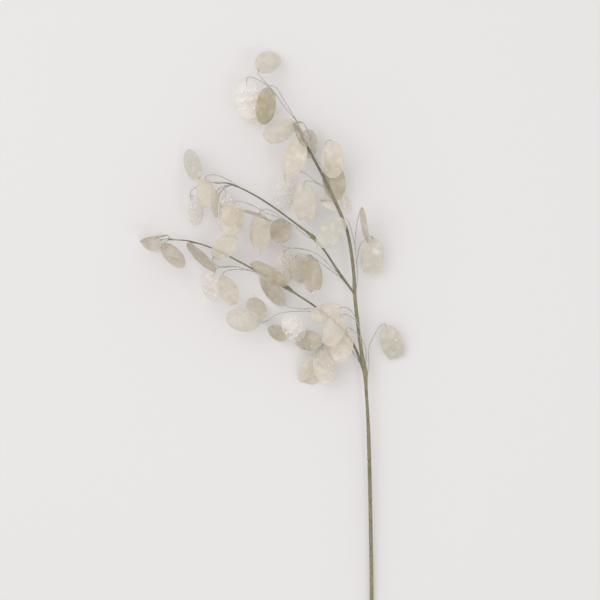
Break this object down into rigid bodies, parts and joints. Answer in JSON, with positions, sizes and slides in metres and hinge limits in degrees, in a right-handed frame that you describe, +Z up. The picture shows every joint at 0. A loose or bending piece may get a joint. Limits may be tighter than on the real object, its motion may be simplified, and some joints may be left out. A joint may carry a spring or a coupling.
{
  "type": "artificial honesty seed pod stem",
  "caption": "Branching taped wire stem laid flat, with thin wire stalks that end in oval, pearly, semi-transparent seed pods bearing raised seeds.",
  "frame": {"origin": "bottom centre of the box round the whole spray as it lies on a table", "axes": "+Y from the cut foot to the head of the stem, +Z up from the table, +X to the right when seen from above with the head at the top"},
  "size_m": [0.3304, 0.7618, 0.0821],
  "materials": {
    "tape": "matt, waxy",
    "film": "pearly, semi-transparent"
  },
  "bodies": {
    "root": {"stem": "tape", "leader_tip_twig": "film", "leader_twig_1": "film", "leader_twig_2": "film", "leader_twig_3": "film", "leader_twig_4": "film", "leader_twig_5": "film", "leader_twig_6": "film", "right_twig": "film", "left_twig_1": "film", "left_twig_2": "film", "left_twig_3": "film", "upper_tip_twig": "film", "upper_twig_1": "film", "upper_twig_2": "film", "upper_twig_3": "film", "upper_twig_4": "film", "upper_twig_5": "film", "lower_tip_twig": "film", "lower_twig_1": "film", "lower_twig_2": "film", "lower_twig_3": "film", "lower_twig_4": "film", "lower_twig_5": "film", "lower_twig_6": "film", "lower_twig_7": "film"}
  },
  "joints": []
}
